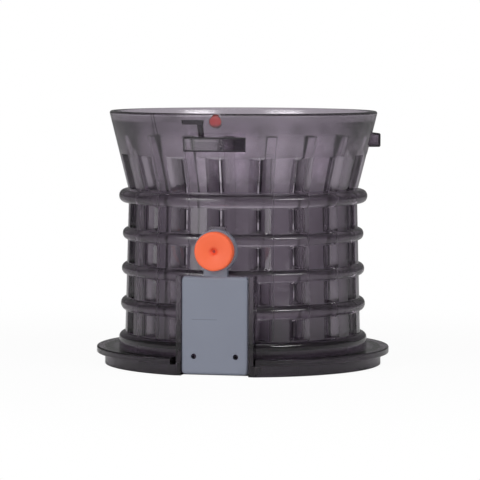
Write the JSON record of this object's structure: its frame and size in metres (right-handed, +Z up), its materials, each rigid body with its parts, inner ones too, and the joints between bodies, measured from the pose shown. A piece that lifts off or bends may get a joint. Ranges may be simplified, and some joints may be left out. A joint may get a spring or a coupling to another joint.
{
  "type": "juicer filter",
  "caption": "Smoke-grey strainer for an upright slow juicer: slotted barrel under a funnel, base flange, and a grey outlet cover held by an orange knob.",
  "frame": {"origin": "on the filter's axis, in the plane that it stands on", "axes": "+Z up along the bore from the base to the rim; the outlet cover faces -Y; X is across the cover"},
  "size_m": [0.1204, 0.1179, 0.104],
  "materials": {
    "smoke_plastic": "polished, translucent",
    "grey_plastic": "satin",
    "seal_rubber": "matte",
    "orange_plastic": "satin",
    "red_plastic": "gloss"
  },
  "bodies": {
    "root": {"filter_body": "smoke_plastic", "outlet_cover": "grey_plastic", "outlet_seal": "seal_rubber", "cover_knob": "orange_plastic", "index_mark": "red_plastic"}
  },
  "joints": []
}
